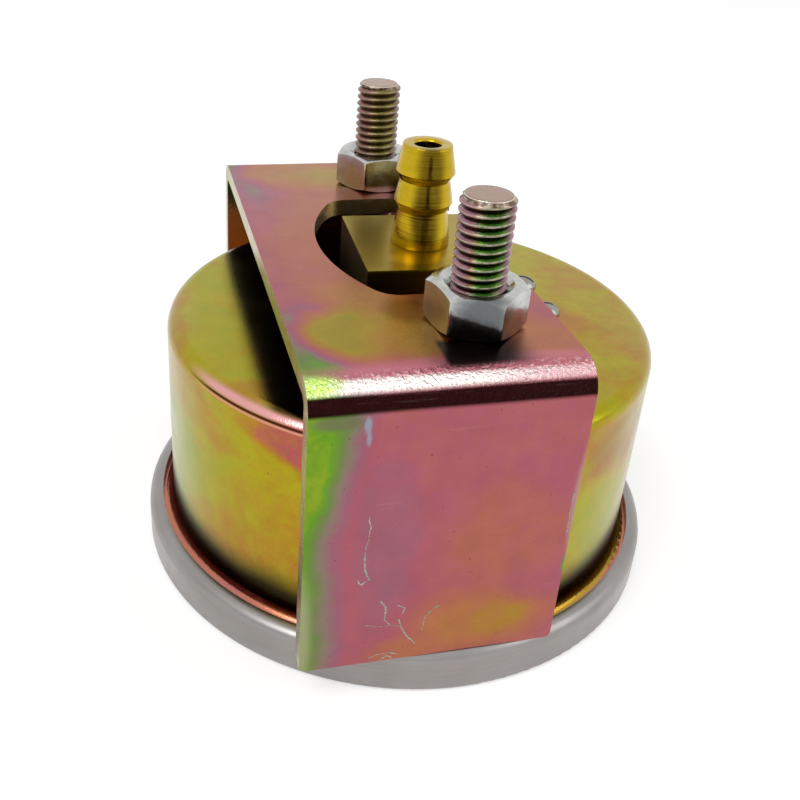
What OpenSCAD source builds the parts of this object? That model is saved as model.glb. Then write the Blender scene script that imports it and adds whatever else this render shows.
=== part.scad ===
// Vacuum gauge for a round hole in a dashboard, lying on its face.
// Z runs from the front of the bezel to the rear. The two studs and the bracket's legs lie along Y.
// The pointer turns about the Z axis, and the movement behind it is set out in polar places.

/* [Bezel and lens] */
// How far the bezel stands out past the can's wall
bezel_reach = 2.7; // [2.5:0.1:3.5]
// Wall of the rolled bezel
bezel_t = 0.8; // [0.6:0.1:1]
// Radius of the bezel's rear shoulder
bezel_edge_r = 1.3; // [0.8:0.05:1.4]
// Radius of the bezel's front edge
bezel_front_r = 0.6; // [0.4:0.05:1]
// How far the rear lip reaches in over the can's flange
rear_lip = 1.5; // [1.2:0.1:1.6]
// Width of the front lip round the window
front_lip = 4.1; // [3.6:0.1:6]
// Thickness of the glass lens
lens_t = 1.6; // [1.2:0.1:2.4]
// Thickness of the rubber gasket under the flange
gasket_t = 0.8; // [0.5:0.1:1.5]

/* [Case] */
// Outer radius of the drawn can
can_r = 26; // [25.6:0.1:26.4]
// Sheet thickness of the can
can_t = 0.7; // [0.5:0.05:0.8]
// Height of the can's back above the front of the bezel
can_back_z = 26.8; // [26.2:0.1:32]
// Rounding of the can's back edge
can_edge_r = 1.5; // [1:0.1:3]
// Fillet at the foot of the can's wall
can_foot_r = 0.9; // [0.5:0.1:1.1]

/* [Mounting bracket] */
// Thickness of the bracket's sheet
bracket_t = 1.8; // [1.2:0.1:2.2]
// Width of the bracket
bracket_w = 24.7; // [23:0.1:30]
// Clearance from each leg to the can's wall
leg_gap = 0.2; // [0.1:0.1:0.6]
// Height from the ends of the legs to the top of the plate
bracket_h = 30.1; // [29:0.1:36]
// Sideways place of the bracket's middle from the line of the studs
bracket_x = -4.4; // [-5:0.1:-3]
// Outer radius of the two bends
bend_r = 2.8; // [2.3:0.1:3.4]
// Width of the notch that is open to one side
notch_w = 25; // [22:0.1:26]
// Radius of the notch's closed end
notch_end_r = 21; // [18:0.5:26]
// Web of sheet left at the notch's closed end
notch_web = 6.3; // [5:0.1:7]
// Radius of the notch's two inner corners
notch_corner_r = 3; // [1:0.5:6]
// Corner rounding at the ends of the legs
leg_corner_r = 0.6; // [0.3:0.1:1.5]

/* [Studs and nuts] */
// How far in from the can's wall the axis of each stud stands
stud_inset = 7.6; // [7:0.1:8.8]
// Outer radius of the studs' thread
stud_r = 2.47; // [2.3:0.01:2.6]
// Length of a stud above the back of the can
stud_l = 20; // [18:0.5:26]
// Width of the nuts across flats
nut_af = 8; // [7.5:0.1:9]
// Height of the nuts
nut_h = 4; // [3.2:0.1:5]
// Turn of the near nut about its stud, in degrees
nut_near_turn = 40; // [0:1:59]
// Turn of the far nut about its stud, in degrees
nut_far_turn = 2; // [0:1:59]

/* [Socket and hose barb] */
// Width of the socket block
block_w = 14; // [12:0.1:15]
// Length of the socket block
block_l = 14.6; // [13:0.1:16]
// Height of the block above the back of the can
block_h = 8; // [7:0.1:9]
// Turn of the block about its axis, in degrees
block_turn = -2.5; // [-4:0.5:4]
// Sideways place of the block and the barb
block_x = 0.4; // [-0.5:0.1:0.8]
// Largest radius of the barb's collar and crests
barb_crest_r = 3.05; // [2.8:0.05:3.5]
// Radius of the barb at the foot of each crest
barb_root_r = 2.57; // [2.3:0.01:2.7]
// Radius of the barb's mouth
barb_mouth_r = 2.5; // [2.2:0.05:2.7]
// Radius of the bore through the barb
barb_bore_r = 1.35; // [1:0.05:1.6]
// Distance from crest to crest
barb_pitch = 3.1; // [2.8:0.1:4]

/* [Case screws] */
// Distance between the two screws
screw_gap = 6.8; // [6:0.1:8]
// Place of the pair to the right of the block
screw_x = 14.9; // [14:0.1:16]
// Place of the pair along the line of the studs
screw_y = 0.8; // [-1:0.1:1]
// Radius of a screw's head
screw_head_r = 1.55; // [1.3:0.05:1.8]
// Height of a screw's head
screw_head_h = 1.1; // [0.8:0.1:1.4]

/* [Dial and pointer] */
// Distance from the lens to the dial
dial_gap = 3.2; // [3:0.1:4]
// Thickness of the dial plate
dial_t = 0.6; // [0.4:0.1:0.8]
// Distance from the pointer's tip to the ring round the dial
pointer_inset = 5.8; // [3:0.1:9]
// Length of the pointer's tail
pointer_tail = 6.5; // [5:0.5:8]
// Direction of the pointer at rest, in degrees
pointer_rest = -45; // [-60:5:-30]

/* [Movement] */
// Distance between the two plates of the movement
plate_gap = 6.2; // [6:0.1:7]
// Thickness of the plates of the movement
plate_t = 1; // [0.8:0.1:1.2]
// Distance from the dial to the front plate
dial_post_h = 2.2; // [2:0.1:3]
// Gear module: pitch diameter per tooth
gear_module = 0.18; // [0.17:0.01:0.19]
// Teeth of the pinion
pinion_teeth = 12; // [12:1:13]
// Teeth of a whole circle of the sector gear
sector_teeth = 108; // [102:1:114]
// Swing of the sector over the whole scale, in degrees
sector_swing = 30; // [26:1:32]
// Length of the sector's tail from its arbor to the link's pin
tail_l = 4.6; // [4.2:0.1:5]

/* [Bourdon tube] */
// Clearance from the curved tube to the can's wall
tube_gap = 3.5; // [3:0.1:4]
// Width of the tube along Z
tube_w = 6; // [5:0.1:6.5]
// Thickness of the flattened tube
tube_h = 1.6; // [1.4:0.1:1.8]
// Wall of the tube
tube_wall = 0.3; // [0.2:0.05:0.4]
// Direction of the tube's free end, in degrees
tube_end = -247; // [-250:1:-240]

/* [Hidden] */
$fn = 96;

// Every cut runs this far past what it cuts
over = 1;
// Clearances: a part dropped in its seat, a pin or spindle that turns, a screw in its hole
seat_gap = 0.2;
run_gap = 0.05;
screw_fit = 0.03;
stud_play = 0.28;
weld_play = 0.15;

// Bezel, lens, gasket and flange are stacked between the bezel's two lips
bezel_r = can_r + bezel_reach;
window_r = bezel_r - front_lip;
lens_z = bezel_t;
gasket_z = lens_z + lens_t;
flange_z = gasket_z + gasket_t;
bezel_h = flange_z + can_t + bezel_t;
seat_r = bezel_r - bezel_t - seat_gap;
can_in_r = can_r - can_t;
can_in_z = can_back_z - can_t;

// Dial and pointer
spacer_t = 0.8;
dial_z = gasket_z + dial_gap;
dial_back_z = dial_z + dial_t;
dial_r = can_in_r - seat_gap;
dial_hole_r = 1.4;
dial_post_r = 1.4;
dial_post_share = 0.36;
dial_post_out = dial_r * dial_post_share;
dial_screw_r = 1.3;
dial_screw_h = 0.6;
small_shank_r = 0.6;
pointer_l = dial_r - spacer_t - pointer_inset;
pointer_t = 0.35;
pointer_w = 1.7;
pointer_tip_w = 0.5;
pointer_eye_r = 2.2;
tail_disc_r = 1.5;
boss_r = 1.7;
boss_neck_r = 0.95;
boss_h = 0.75;
boss_nose = 0.35;
pointer_lift = 1.15;
pointer_z = dial_z - pointer_lift - pointer_t;
boss_z = pointer_z - boss_nose;

// Plates of the movement
front_plate_z = dial_back_z + dial_post_h;
pillar_z = front_plate_z + plate_t;
back_plate_z = pillar_z + plate_gap;
frame_z = back_plate_z + plate_t;
bar_r = 3.2;
pillar_r = 1.3;
rivet_r = 0.8;
end_shake = 0.1;

// Gears: the arbor stands from the spindle in the direction mesh_turn
mesh_turn = 148;
pinion_r = gear_module * pinion_teeth / 2;
sector_r = gear_module * sector_teeth / 2;
centre_dist = pinion_r + sector_r;
arbor = polar(centre_dist, mesh_turn);
pillar_share = 0.93;
pillar_side_share = 0.44;
frame_post_share = 0.55;
pillar_out = centre_dist * pillar_share;
pillar_side = centre_dist * pillar_side_share;
frame_post_out = centre_dist * frame_post_share;
sector_pitch = 360 / sector_teeth;
pinion_pitch = 360 / pinion_teeth;
tooth_w = gear_module * PI;
sector_tooth_shares = [0.65, 0.43, 0.24];
pinion_tooth_shares = [0.58, 0.38, 0.2];
tooth_top = gear_module * 0.8;
tooth_root = gear_module * 1.15;
spindle_r = 0.75;
pivot_r = 0.45;
nose_r = 0.55;
nose_l = 1.6;
pinion_z = pillar_z + 1.8 * plate_t;
pinion_w = 2.6;
sector_t = 0.8;
sector_z = pinion_z + (pinion_w - sector_t) / 2;
sector_rim = 1.3;
sector_hub_r = 2;
sector_arm_w = 1.6;
arbor_r = 0.7;
arbor_collar_r = 1.2;

// Hairspring between the collet on the spindle and a stud on the front plate
collet_r = 1.5;
collet_h = 0.8;
collet_z = pillar_z + 0.4 * plate_t;
spring_r = 5.2;
spring_turns = 4;
spring_t = 0.16;
spring_w = 0.5;
spring_start = 60;
spring_end = spring_start + 360 * spring_turns;
spring_stud_r = 0.7;

// Linkage from the sector's tail to the free end of the tube
pin_r = 0.4;
pin_head_r = 0.8;
pin_head_h = 0.25;
link_t = 0.5;
link_w = 1.3;
tube_r = can_in_r - tube_gap - tube_h / 2;
link_eye_r = 1.1;
layer_gap = 0.1;
open_gap = 0.15;
link_z = sector_z + sector_t + layer_gap;
ear_z = link_z + link_t + layer_gap;
ear_t = 0.8;
ear_r = 1.1;
tip_in = 1.5 * tube_h;
tip_turn = tube_end + 360 - 3;
tip_arc = 6;
tip_wrap = 0.2;
tail_turn = mesh_turn + sector_swing / 2;
tail_pin = arbor + polar(tail_l, tail_turn);
tip_pin_at = polar(tube_r - tip_in, tip_turn);
link_run = tip_pin_at - tail_pin;
link_l = norm(link_run);
link_turn = atan2(link_run[1], link_run[0]);

// Bourdon tube and the foot of the socket that holds its fixed end
tube_z = link_z + link_t / 2 - tube_w / 2;
holder_w = 6.4;
holder_wrap = 0.6;
tube_start = -asin(holder_w / 2 / tube_r);
foot_t = 4.5;
foot_z = can_in_z - foot_t;
foot_w = 14;
foot_tail = 8;
duct_r = 0.9;
duct_end_r = 0.4;
duct_z = foot_z + foot_t / 2;
block_top_z = can_back_z + block_h;
frame_post_r = 1.5;
frame_screw_r = 0.7;
frame_screw_l = 2.4;
frame_post_at = [polar(frame_post_out, mesh_turn + 180), polar(frame_post_out, mesh_turn)];

// Barb, studs and nuts
barb_collar_h = 0.7;
barb_undercut = 0.8;
barb_mouth_h = 2.85;
barb_crests = 2;
stub_r = 2.2;
stub_l = 5;
barb_chamfer = 0.2;
stud_at = [[0, stud_inset - can_r], [0, can_r - stud_inset]];
stud_z = can_back_z + stud_l;
stud_chamfer = 0.6;
stud_head_r = 3.8;
stud_head_h = 1;
stud_hole_r = stud_r + weld_play;
nut_sink = 0.65;
nut_face_share = 0.97;
nut_corner_r = nut_af / sqrt(3);
nut_face_r = nut_af / 2 * nut_face_share;

// Bracket
bracket_z = bezel_h;
plate_z = bracket_z + bracket_h;
bracket_hole_r = stud_r + stud_play;
bracket_l = 2 * (can_r + leg_gap + bracket_t);

// Case screws
screw_shank_r = 0.8;
screw_l = 3.2;
dome_share = 1.1;
slot_w = 0.5;
slot_depth = 0.55;
slot_turns = [-32, -24];
screw_at = [[screw_x, screw_y + screw_gap / 2], [screw_x, screw_y - screw_gap / 2]];

function polar(r, a) = [r * cos(a), r * sin(a)];

// Flat ring or tube about Z
module ring(outer, inner, h) {
    difference() {
        cylinder(r = outer, h = h);
        translate([0, 0, -over]) cylinder(r = inner, h = h + 2 * over);
    }
}

// Cylinder at a place in the plane
module rod(at, z, r, h) {
    translate([at[0], at[1], z]) cylinder(r = r, h = h);
}

// Bar with round ends between two places in the plane
module bar(from, to, r) {
    run = to - from;
    translate(from) circle(r = r);
    translate(to) circle(r = r);
    translate(from) rotate(atan2(run[1], run[0])) translate([0, -r]) square([norm(run), 2 * r]);
}

// Flattened tube section, upright, with round ends
module stadium(w, h) {
    translate([-h / 2, -w / 2 + h / 2]) square([h, w - h]);
    for (side = [-1, 1]) translate([0, side * (w - h) / 2]) circle(d = h);
}

// One gear tooth about radius r as four corners, with shares of the circular pitch for its widths
function tooth(r, at, shares) =
    let (deg = 180 / PI / r)
    [polar(r - tooth_root, at - shares[0] * tooth_w * deg / 2),
     polar(r, at - shares[1] * tooth_w * deg / 2),
     polar(r + tooth_top, at - shares[2] * tooth_w * deg / 2),
     polar(r + tooth_top, at + shares[2] * tooth_w * deg / 2),
     polar(r, at + shares[1] * tooth_w * deg / 2),
     polar(r - tooth_root, at + shares[0] * tooth_w * deg / 2)];

function flat(lists) = [for (list = lists) for (item = list) item];

module bezel_ring() {
    color("#8d8882")
    rotate_extrude() difference() {
        union() {
            translate([window_r, bezel_front_r]) square([bezel_r - bezel_edge_r - window_r, bezel_h - bezel_front_r]);
            translate([window_r, 0]) square([bezel_r - bezel_front_r - window_r, bezel_front_r]);
            translate([window_r, bezel_front_r])
                square([bezel_r - window_r, bezel_h - bezel_front_r - bezel_edge_r]);
            translate([bezel_r - bezel_front_r, bezel_front_r]) circle(r = bezel_front_r);
            translate([bezel_r - bezel_edge_r, bezel_h - bezel_edge_r]) circle(r = bezel_edge_r);
        }
        translate([0, bezel_t]) square([bezel_r - bezel_t, bezel_h - 2 * bezel_t]);
        translate([0, bezel_h - bezel_t - over]) square([bezel_r - rear_lip, bezel_t + 2 * over]);
    }
}

module lens() {
    color("#dfe8ea", 0.4)
    translate([0, 0, lens_z]) cylinder(r = seat_r, h = lens_t);
}

module lens_gasket() {
    color("#1c1c1c")
    translate([0, 0, gasket_z]) ring(seat_r, can_in_r, gasket_t);
}

module spacer_ring() {
    color("#202020")
    translate([0, 0, gasket_z]) ring(dial_r, dial_r - spacer_t, dial_gap);
}

// Outline of the can's wall in radius and height
module can_section() {
    translate([can_in_r, flange_z]) square([seat_r - can_in_r, can_t]);
    translate([can_in_r, flange_z]) square([can_t, can_back_z - can_edge_r - flange_z]);
    translate([0, can_in_z]) square([can_r - can_edge_r, can_t]);
    difference() {
        translate([can_r, flange_z + can_t]) square(can_foot_r);
        translate([can_r + can_foot_r, flange_z + can_t + can_foot_r]) circle(r = can_foot_r);
    }
    translate([can_r - can_edge_r, can_back_z - can_edge_r]) intersection() {
        difference() {
            circle(r = can_edge_r);
            circle(r = can_edge_r - can_t);
        }
        square(can_edge_r);
    }
}

module case_can() {
    color("#a8a028")
    difference() {
        rotate_extrude() can_section();
        for (at = stud_at) rod(at, can_in_z - over, stud_hole_r, can_t + 2 * over);
        for (at = screw_at) rod(at, can_in_z - over, screw_shank_r + screw_fit, can_t + 2 * over);
        translate([block_x, 0, can_in_z - over]) rotate(block_turn)
            translate([-block_w / 2 - seat_gap, -block_l / 2 - seat_gap])
            cube([block_w + 2 * seat_gap, block_l + 2 * seat_gap, can_t + 2 * over]);
    }
}

module dial_plate() {
    color("#f2f2ee")
    translate([0, 0, dial_z]) difference() {
        cylinder(r = dial_r, h = dial_t);
        rod([0, 0], -over, dial_hole_r, dial_t + 2 * over);
        for (side = [90, -90])
            rod(polar(dial_post_out, mesh_turn + side), -over, small_shank_r + screw_fit, dial_t + 2 * over);
    }
}

// Two posts that carry the dial on the front plate, riveted into it
module dial_posts() {
    color("#b59a3c")
    for (side = [90, -90]) difference() {
        union() {
            rod(polar(dial_post_out, mesh_turn + side), dial_back_z, dial_post_r, dial_post_h);
            rod(polar(dial_post_out, mesh_turn + side), front_plate_z, rivet_r, plate_t);
        }
        rod(polar(dial_post_out, mesh_turn + side), dial_back_z - over,
            small_shank_r + screw_fit, dial_post_h + over);
    }
}

module dial_screws() {
    color("#c8c8c8")
    for (side = [90, -90]) {
        rod(polar(dial_post_out, mesh_turn + side), dial_z - dial_screw_h, dial_screw_r, dial_screw_h);
        rod(polar(dial_post_out, mesh_turn + side), dial_z, small_shank_r, dial_t + dial_post_h * 0.8);
    }
}

module pointer() {
    color("#d8401c")
    translate([0, 0, pointer_z]) rotate(pointer_rest) linear_extrude(pointer_t) difference() {
        union() {
            circle(r = pointer_eye_r);
            polygon([[0, -pointer_w / 2], [pointer_l, -pointer_tip_w / 2],
                [pointer_l, pointer_tip_w / 2], [0, pointer_w / 2]]);
            translate([-pointer_tail, -pointer_w / 2]) square([pointer_tail, pointer_w]);
            translate([-pointer_tail, 0]) circle(r = tail_disc_r);
        }
        circle(r = boss_neck_r + screw_fit);
    }
}

module pointer_boss() {
    color("#b59a3c")
    difference() {
        union() {
            rod([0, 0], boss_z, boss_neck_r, boss_nose + pointer_t);
            rod([0, 0], pointer_z + pointer_t, boss_r, boss_h);
        }
        rod([0, 0], boss_z - over, nose_r + screw_fit, boss_nose + pointer_t + boss_h + 2 * over);
    }
}

// Spindle with the pinion cut on it: the nose carries the pointer, and a pivot runs in the back plate
module pinion_spindle() {
    color("#c9a94a") {
        rod([0, 0], boss_z, nose_r, nose_l);
        rod([0, 0], boss_z + nose_l, spindle_r, back_plate_z - end_shake - boss_z - nose_l);
        rod([0, 0], back_plate_z - end_shake, pivot_r, plate_t + end_shake);
        translate([0, 0, pinion_z]) linear_extrude(pinion_w)
            polygon(flat([for (i = [0 : pinion_teeth - 1])
                tooth(pinion_r, mesh_turn + (i + 0.5) * pinion_pitch, pinion_tooth_shares)]));
    }
}

module hairspring_collet() {
    color("#c9a94a")
    translate([0, 0, collet_z]) ring(collet_r, spindle_r + screw_fit, collet_h);
}

function spring_at(a, side) =
    polar(collet_r + (spring_r - collet_r) * (a - spring_start) / (spring_end - spring_start)
        + side * spring_t / 2 + spring_t / 2, a);

// Flat spiral strip from the collet out to its stud
module hairspring() {
    steps = spring_turns * 24;
    turn = (spring_end - spring_start) / steps;
    echo(least_gap_between_turns = min([for (i = [24 : steps])
        norm(spring_at(spring_start + i * turn, -1) - spring_at(spring_start + i * turn - 360, 1))]));
    color("#6f86a8")
    translate([0, 0, collet_z + (collet_h - spring_w) / 2]) linear_extrude(spring_w)
        polygon(concat(
            [for (i = [0 : steps]) spring_at(spring_start + i * turn, 1)],
            [for (i = [steps : -1 : 0]) spring_at(spring_start + i * turn, -1)]));
}

module hairspring_stud() {
    at = polar(spring_r + spring_t + spring_stud_r, spring_start);
    color("#b59a3c") {
        rod(at, pillar_z, spring_stud_r, collet_z + collet_h - pillar_z);
        rod(at, front_plate_z, spring_stud_r / 2, plate_t);
    }
}

// Toothed sector: rim, two spokes, hub and the tail that the link pulls
module sector_gear() {
    first = mesh_turn + 180 - 2 * sector_pitch;
    count = ceil(sector_swing / sector_pitch) + 5;
    last = first + (count - 1) * sector_pitch;
    arm_in = 2 * sector_pitch;
    color("#c9a94a")
    translate([arbor[0], arbor[1], sector_z]) linear_extrude(sector_t) difference() {
        union() {
            polygon(concat(
                flat([for (i = [0 : count - 1])
                    tooth(sector_r, first + i * sector_pitch, sector_tooth_shares)]),
                [for (i = [count - 1 : -1 : 0])
                    polar(sector_r - tooth_root - sector_rim, first + i * sector_pitch)]));
            for (a = [first + arm_in, last - arm_in])
                rotate(a) translate([0, -sector_arm_w / 2])
                    square([sector_r - tooth_root - sector_rim / 2, sector_arm_w]);
            circle(r = sector_hub_r);
            bar([0, 0], tail_pin - arbor, sector_arm_w / 2);
            translate(tail_pin - arbor) circle(r = link_eye_r);
        }
        circle(r = arbor_r + screw_fit);
        translate(tail_pin - arbor) circle(r = pin_r);
    }
}

module sector_arbor() {
    top = back_plate_z - end_shake;
    bottom = pillar_z + end_shake;
    color("#c8c4b0") {
        rod(arbor, bottom, arbor_r, top - bottom);
        rod(arbor, bottom - plate_t - end_shake, pivot_r, top - bottom + 2 * (plate_t + end_shake));
        rod(arbor, sector_z + sector_t, arbor_collar_r, sector_t);
    }
}

module link_pin() {
    color("#c8c8c8") {
        rod(tail_pin, sector_z, pin_r, ear_z - sector_z);
        rod(tail_pin, ear_z, pin_head_r, pin_head_h);
    }
}

module connecting_link() {
    color("#c9a94a")
    translate([0, 0, link_z]) linear_extrude(link_t) difference() {
        union() {
            bar(tail_pin, tip_pin_at, link_w / 2);
            for (at = [tail_pin, tip_pin_at]) translate(at) circle(r = link_eye_r);
        }
        translate(tail_pin) circle(r = pin_r + run_gap);
        translate(tip_pin_at) circle(r = pin_r + open_gap);
    }
}

// Plug on the free end of the tube, with the ear that carries the link's second pin
module tube_tip() {
    color("#c9a94a") difference() {
        union() {
            rotate(tube_end + 360 - tip_arc) rotate_extrude(angle = tip_arc)
                translate([tube_r - tube_h / 2 - tip_wrap, tube_z - tip_wrap])
                square([tube_h + 2 * tip_wrap, tube_w + 2 * tip_wrap]);
            translate([0, 0, ear_z]) linear_extrude(ear_t)
                bar(tip_pin_at, polar(tube_r, tip_turn), ear_r);
        }
        rod(tip_pin_at, ear_z - over, pin_r, ear_t + 2 * over);
    }
}

module tip_pin() {
    color("#c8c8c8") {
        rod(tip_pin_at, link_z - layer_gap, pin_r, ear_z + ear_t - link_z + layer_gap);
        rod(tip_pin_at, link_z - layer_gap - pin_head_h, pin_head_r, pin_head_h);
    }
}

module bourdon_tube() {
    color("#b8862b")
    rotate(tube_end) rotate_extrude(angle = tube_start - tube_end)
        translate([tube_r, tube_z + tube_w / 2]) difference() {
            stadium(tube_w, tube_h);
            stadium(tube_w - 2 * tube_wall, tube_h - 2 * tube_wall);
        }
}

// Brass block through the back of the can, with the foot and the holder of the tube inside
module socket_block() {
    holder_x = tube_r - tube_h / 2 - holder_wrap;
    holder_l = tube_h + 2 * holder_wrap;
    holder_z = tube_z - holder_wrap;
    color("#a8963c") difference() {
        union() {
            translate([block_x, 0, duct_z]) rotate(block_turn) translate([-block_w / 2, -block_l / 2])
                cube([block_w, block_l, block_top_z - duct_z]);
            translate([-foot_tail, -foot_w / 2, foot_z])
                cube([foot_tail + holder_x + holder_l, foot_w, foot_t]);
            rotate(tube_start) translate([holder_x, 0, holder_z])
                cube([holder_l, holder_w, duct_z + duct_r + holder_wrap - holder_z]);
        }
        rod([block_x, 0], block_top_z - stub_l, stub_r + screw_fit, stub_l + over);
        rod([block_x, 0], duct_z, duct_r, block_top_z - duct_z);
        translate([block_x, 0, duct_z]) rotate([0, 90, 0]) cylinder(r = duct_r, h = tube_r - block_x);
        rod([tube_r, 0], tube_z + tube_w / 2, duct_end_r, duct_z - tube_z - tube_w / 2);
        rotate(tube_start) translate([tube_r, -over, tube_z + tube_w / 2]) rotate([-90, 0, 0])
            cylinder(r = duct_end_r, h = over + holder_w / 2);
        for (at = screw_at) rod(at, foot_z + foot_t - screw_l, screw_shank_r + screw_fit, screw_l + over);
        for (at = frame_post_at) rod(at, foot_z - over, frame_screw_r + screw_fit, frame_screw_l + 2 * over);
    }
}

// Outline of the barb in radius and height: collar, then a saw tooth for each crest
module barb_section() {
    crest_z = barb_collar_h + barb_pitch + barb_undercut;
    polygon(concat(
        [[0, 0], [barb_crest_r, 0], [barb_crest_r, barb_collar_h]],
        flat([for (i = [0 : barb_crests - 1])
            [[barb_root_r, crest_z - barb_undercut + i * barb_pitch],
             [barb_crest_r, crest_z + i * barb_pitch]]]),
        [[barb_mouth_r, crest_z + (barb_crests - 1) * barb_pitch + barb_mouth_h],
         [0, crest_z + (barb_crests - 1) * barb_pitch + barb_mouth_h]]));
}

barb_h = barb_collar_h + barb_undercut + barb_crests * barb_pitch + barb_mouth_h;

module hose_barb() {
    color("#c0a020")
    translate([block_x, 0, block_top_z]) difference() {
        union() {
            rotate_extrude() barb_section();
            translate([0, 0, -stub_l]) cylinder(r = stub_r, h = stub_l);
        }
        translate([0, 0, -stub_l - over]) cylinder(r = barb_bore_r, h = stub_l + barb_h + 2 * over);
        translate([0, 0, barb_h - barb_chamfer])
            cylinder(r1 = barb_bore_r, r2 = barb_bore_r + 2 * barb_chamfer, h = 2 * barb_chamfer);
    }
}

// Bars of the plates: from the pillar past the spindle to the arbor, and across the arbor
module plate_outline() {
    across = [for (side = [90, -90]) arbor + polar(pillar_side, mesh_turn + side)];
    bar(polar(pillar_out, mesh_turn + 180), arbor, bar_r);
    bar(across[0], across[1], bar_r * 0.75);
}

function pillar_places() = concat([polar(pillar_out, mesh_turn + 180)],
    [for (side = [90, -90]) arbor + polar(pillar_side, mesh_turn + side)]);

module movement_front_plate() {
    color("#b8a24a")
    translate([0, 0, front_plate_z]) linear_extrude(plate_t) difference() {
        union() {
            plate_outline();
            bar(polar(dial_post_out, mesh_turn + 90), polar(dial_post_out, mesh_turn - 90), bar_r * 0.75);
        }
        circle(r = spindle_r + run_gap);
        translate(arbor) circle(r = pivot_r + run_gap);
        for (at = pillar_places()) translate(at) circle(r = rivet_r);
        for (side = [90, -90]) translate(polar(dial_post_out, mesh_turn + side)) circle(r = rivet_r);
        translate(polar(spring_r + spring_t + spring_stud_r, spring_start)) circle(r = spring_stud_r / 2);
    }
}

module movement_back_plate() {
    color("#b8a24a")
    translate([0, 0, back_plate_z]) linear_extrude(plate_t) difference() {
        plate_outline();
        circle(r = pivot_r + run_gap);
        translate(arbor) circle(r = pivot_r + run_gap);
        for (at = pillar_places()) translate(at) circle(r = small_shank_r + screw_fit);
        for (at = frame_post_at) translate(at) circle(r = frame_screw_r + screw_fit);
    }
}

module movement_pillars() {
    color("#b59a3c")
    for (at = pillar_places()) difference() {
        union() {
            rod(at, pillar_z, pillar_r, plate_gap);
            rod(at, front_plate_z, rivet_r, plate_t);
        }
        rod(at, back_plate_z - plate_gap / 2, small_shank_r + screw_fit, plate_gap / 2 + over);
    }
}

module movement_screws() {
    color("#c8c8c8")
    for (at = pillar_places()) {
        rod(at, frame_z, dial_screw_r, dial_screw_h);
        rod(at, frame_z - plate_t - plate_gap * 0.4, small_shank_r, plate_t + plate_gap * 0.4);
    }
}

module frame_posts() {
    color("#b59a3c")
    for (at = frame_post_at)
        translate([at[0], at[1], frame_z])
        ring(frame_post_r, frame_screw_r + screw_fit, foot_z - frame_z);
}

module frame_screws() {
    color("#c8c8c8")
    for (at = frame_post_at) {
        rod(at, back_plate_z - dial_screw_h, frame_post_r, dial_screw_h);
        rod(at, back_plate_z, frame_screw_r, foot_z - back_plate_z + frame_screw_l);
    }
}

// Slotted pan heads on the back of the can, with shanks down into the foot of the socket
module case_screws() {
    color("#d4d2cc")
    for (i = [0 : 1]) translate([screw_at[i][0], screw_at[i][1], can_back_z]) difference() {
        union() {
            rotate_extrude() intersection() {
                translate([0, screw_head_h - screw_head_r * dome_share]) circle(r = screw_head_r * dome_share);
                square([screw_head_r, screw_head_h]);
            }
            rod([0, 0], -screw_l + over * 0.5, screw_shank_r, screw_l - over * 0.5);
        }
        rotate(slot_turns[i]) translate([-screw_head_r - over, -slot_w / 2, screw_head_h - slot_depth])
            cube([2 * (screw_head_r + over), slot_w, slot_depth + over]);
    }
}

// Studs with flat heads welded inside the can
module mounting_studs() {
    color("#a8908a")
    for (at = stud_at) {
        rod(at, can_in_z - stud_head_h, stud_head_r, stud_head_h);
        rod(at, can_in_z, stud_r, stud_z - stud_chamfer - can_in_z);
        translate([at[0], at[1], stud_z - stud_chamfer])
            cylinder(r1 = stud_r, r2 = stud_r - stud_chamfer, h = stud_chamfer);
    }
}

// Side outline of the bracket: plate, two bends and two legs
module bracket_outline() {
    half = bracket_l / 2;
    for (side = [0, 1]) mirror([side, 0]) {
        translate([0, bracket_h - bracket_t]) square([half - bend_r, bracket_t]);
        translate([half - bracket_t, 0]) square([bracket_t, bracket_h - bend_r]);
        translate([half - bend_r, bracket_h - bend_r]) intersection() {
            difference() {
                circle(r = bend_r);
                circle(r = bend_r - bracket_t);
            }
            square(bend_r);
        }
    }
}

// Notch through the plate: open to the right, with a bowed end and straight sides
module notch_outline() {
    end_at = [-bracket_w / 2 + notch_web + notch_end_r, 0];
    side = notch_w / 2 - notch_corner_r;
    corner_x = end_at[0] - sqrt(pow(notch_end_r - notch_corner_r, 2) - pow(side, 2));
    corner_at = [[corner_x, -side], [corner_x, side]];
    intersection() {
        translate(end_at) circle(r = notch_end_r);
        polygon([end_at, 2 * corner_at[1] - end_at, 2 * corner_at[0] - end_at]);
    }
    for (at = corner_at) translate(at) circle(r = notch_corner_r);
    translate([corner_x, -notch_w / 2]) square([bracket_w / 2 + over - corner_x, notch_w]);
}

module mounting_bracket() {
    color("#b0785c")
    difference() {
        translate([bracket_x - bracket_w / 2, 0, bracket_z]) rotate([90, 0, 90])
            linear_extrude(bracket_w) bracket_outline();
        translate([bracket_x, 0, plate_z - bracket_t - over]) linear_extrude(bracket_t + 2 * over)
            notch_outline();
        for (at = stud_at) rod(at, plate_z - bracket_t - over, bracket_hole_r, bracket_t + 2 * over);
        for (side = [-1, 1]) translate([bracket_x, 0, bracket_z]) rotate([90, 0, 0])
            translate([side * bracket_w / 2, 0, -bracket_l / 2 - over]) mirror([side > 0 ? 1 : 0, 0])
            linear_extrude(bracket_l + 2 * over) difference() {
                translate([-over, -over]) square(leg_corner_r + over);
                translate([leg_corner_r, leg_corner_r]) circle(r = leg_corner_r);
            }
    }
}

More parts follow.
